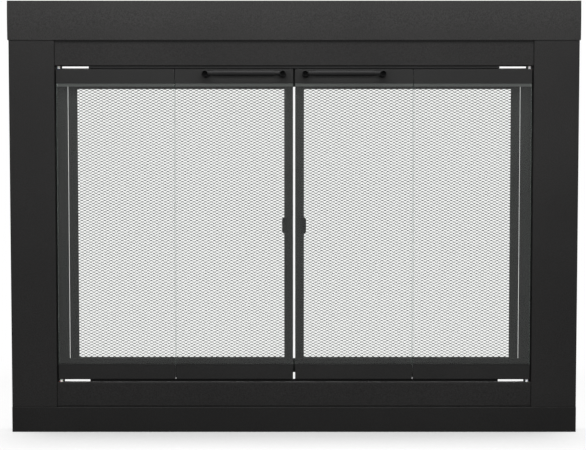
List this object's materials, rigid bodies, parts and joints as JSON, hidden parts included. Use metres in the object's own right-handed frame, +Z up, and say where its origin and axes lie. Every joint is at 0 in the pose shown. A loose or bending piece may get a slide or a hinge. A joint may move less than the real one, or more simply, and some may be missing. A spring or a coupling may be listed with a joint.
{
  "type": "fireplace glass door",
  "caption": "Black framed bi-fold glass doors for a masonry fireplace, with round bar handles and mesh gates behind the glass.",
  "frame": {"origin": "centre of the sill's underside, midway between the stiles' face and the wall face", "axes": "+X to the right seen from the room, +Y from the room towards the fire, +Z up"},
  "size_m": [1.108, 0.144, 0.8404],
  "materials": {
    "frame_paint": "satin dark bronze-black paint",
    "leaf_paint": "satin black paint",
    "track_paint": "matt black paint",
    "gate_paint": "matt black paint",
    "mesh_paint": "matt black heat-resistant paint",
    "handle_paint": "satin black paint",
    "hinge_finish": "black oxide",
    "zinc_plate": "bright zinc plate",
    "nylon": "natural nylon",
    "magnet": "sintered magnet in black paint",
    "gasket": "grey glass-fibre tape",
    "glass": "clear tempered glass"
  },
  "bodies": {
    "frame": {"hood_cap": "frame_paint", "left_stile": "frame_paint", "right_stile": "frame_paint", "sill": "frame_paint", "header_rail": "frame_paint", "bottom_rail": "frame_paint", "guide_track": "track_paint", "bottom_stop_strip": "track_paint", "top_pivot_brackets": "zinc_plate", "bottom_pivot_brackets": "zinc_plate", "pivot_bushings": "nylon", "jamb_channels": "gate_paint", "gate_top_bar": "gate_paint", "gate_bottom_bar": "gate_paint", "gate_hinge_ears": "gate_paint", "gate_magnets": "magnet", "corner_brackets": "zinc_plate", "frame_screws": "zinc_plate", "lintel_clamps": "zinc_plate", "clamp_bolts": "zinc_plate", "floor_brackets": "zinc_plate"},
    "left_outer_leaf": {"left_outer_top_rail": "leaf_paint", "left_outer_bottom_rail": "leaf_paint", "left_outer_glass": "glass", "left_outer_gaskets": "gasket", "left_pivot_pins": "zinc_plate", "left_fold_plates_outer": "hinge_finish", "left_fold_pins": "zinc_plate"},
    "left_inner_leaf": {"left_inner_top_rail": "leaf_paint", "left_inner_bottom_rail": "leaf_paint", "left_inner_glass": "glass", "left_inner_gaskets": "gasket", "left_fold_plates_inner": "hinge_finish", "left_guide_pin": "zinc_plate", "left_guide_roller": "nylon", "left_handle": "handle_paint", "left_handle_screws": "zinc_plate"},
    "left_gate": {"left_gate_frame": "gate_paint", "left_gate_mesh": "mesh_paint", "left_gate_pull": "handle_paint"},
    "right_outer_leaf": {"right_outer_top_rail": "leaf_paint", "right_outer_bottom_rail": "leaf_paint", "right_outer_glass": "glass", "right_outer_gaskets": "gasket", "right_pivot_pins": "zinc_plate", "right_fold_plates_outer": "hinge_finish", "right_fold_pins": "zinc_plate"},
    "right_inner_leaf": {"right_inner_top_rail": "leaf_paint", "right_inner_bottom_rail": "leaf_paint", "right_inner_glass": "glass", "right_inner_gaskets": "gasket", "right_fold_plates_inner": "hinge_finish", "right_guide_pin": "zinc_plate", "right_guide_roller": "nylon", "right_handle": "handle_paint", "right_handle_screws": "zinc_plate"},
    "right_gate": {"right_gate_frame": "gate_paint", "right_gate_mesh": "mesh_paint", "right_gate_pull": "handle_paint"}
  },
  "joints": [
    {"name": "left_pivot", "type": "hinge", "parent": "frame", "child": "left_outer_leaf", "pos_m": [-0.45675, -0.0085, 0], "axis": [0, 0, -1], "range_deg": [0, 80]},
    {"name": "left_fold", "type": "hinge", "parent": "left_outer_leaf", "child": "left_inner_leaf", "pos_m": [-0.23187, -0.0028, 0], "axis": [0, 0, -1], "range_deg": [-160, 0]},
    {"name": "left_gate_swing", "type": "hinge", "parent": "frame", "child": "left_gate", "pos_m": [-0.4359, 0.0095, 0], "axis": [0, 0, 1], "range_deg": [0, 90]},
    {"name": "right_pivot", "type": "hinge", "parent": "frame", "child": "right_outer_leaf", "pos_m": [0.45675, -0.0085, 0], "axis": [0, 0, 1], "range_deg": [0, 80]},
    {"name": "right_fold", "type": "hinge", "parent": "right_outer_leaf", "child": "right_inner_leaf", "pos_m": [0.23187, -0.0028, 0], "axis": [0, 0, 1], "range_deg": [-160, 0]},
    {"name": "right_gate_swing", "type": "hinge", "parent": "frame", "child": "right_gate", "pos_m": [0.4359, 0.0095, 0], "axis": [0, 0, -1], "range_deg": [0, 90]}
  ],
  "couplings": [
    {"joint": "left_fold", "follows": "left_pivot", "ratio": -2},
    {"joint": "right_fold", "follows": "right_pivot", "ratio": -2}
  ]
}
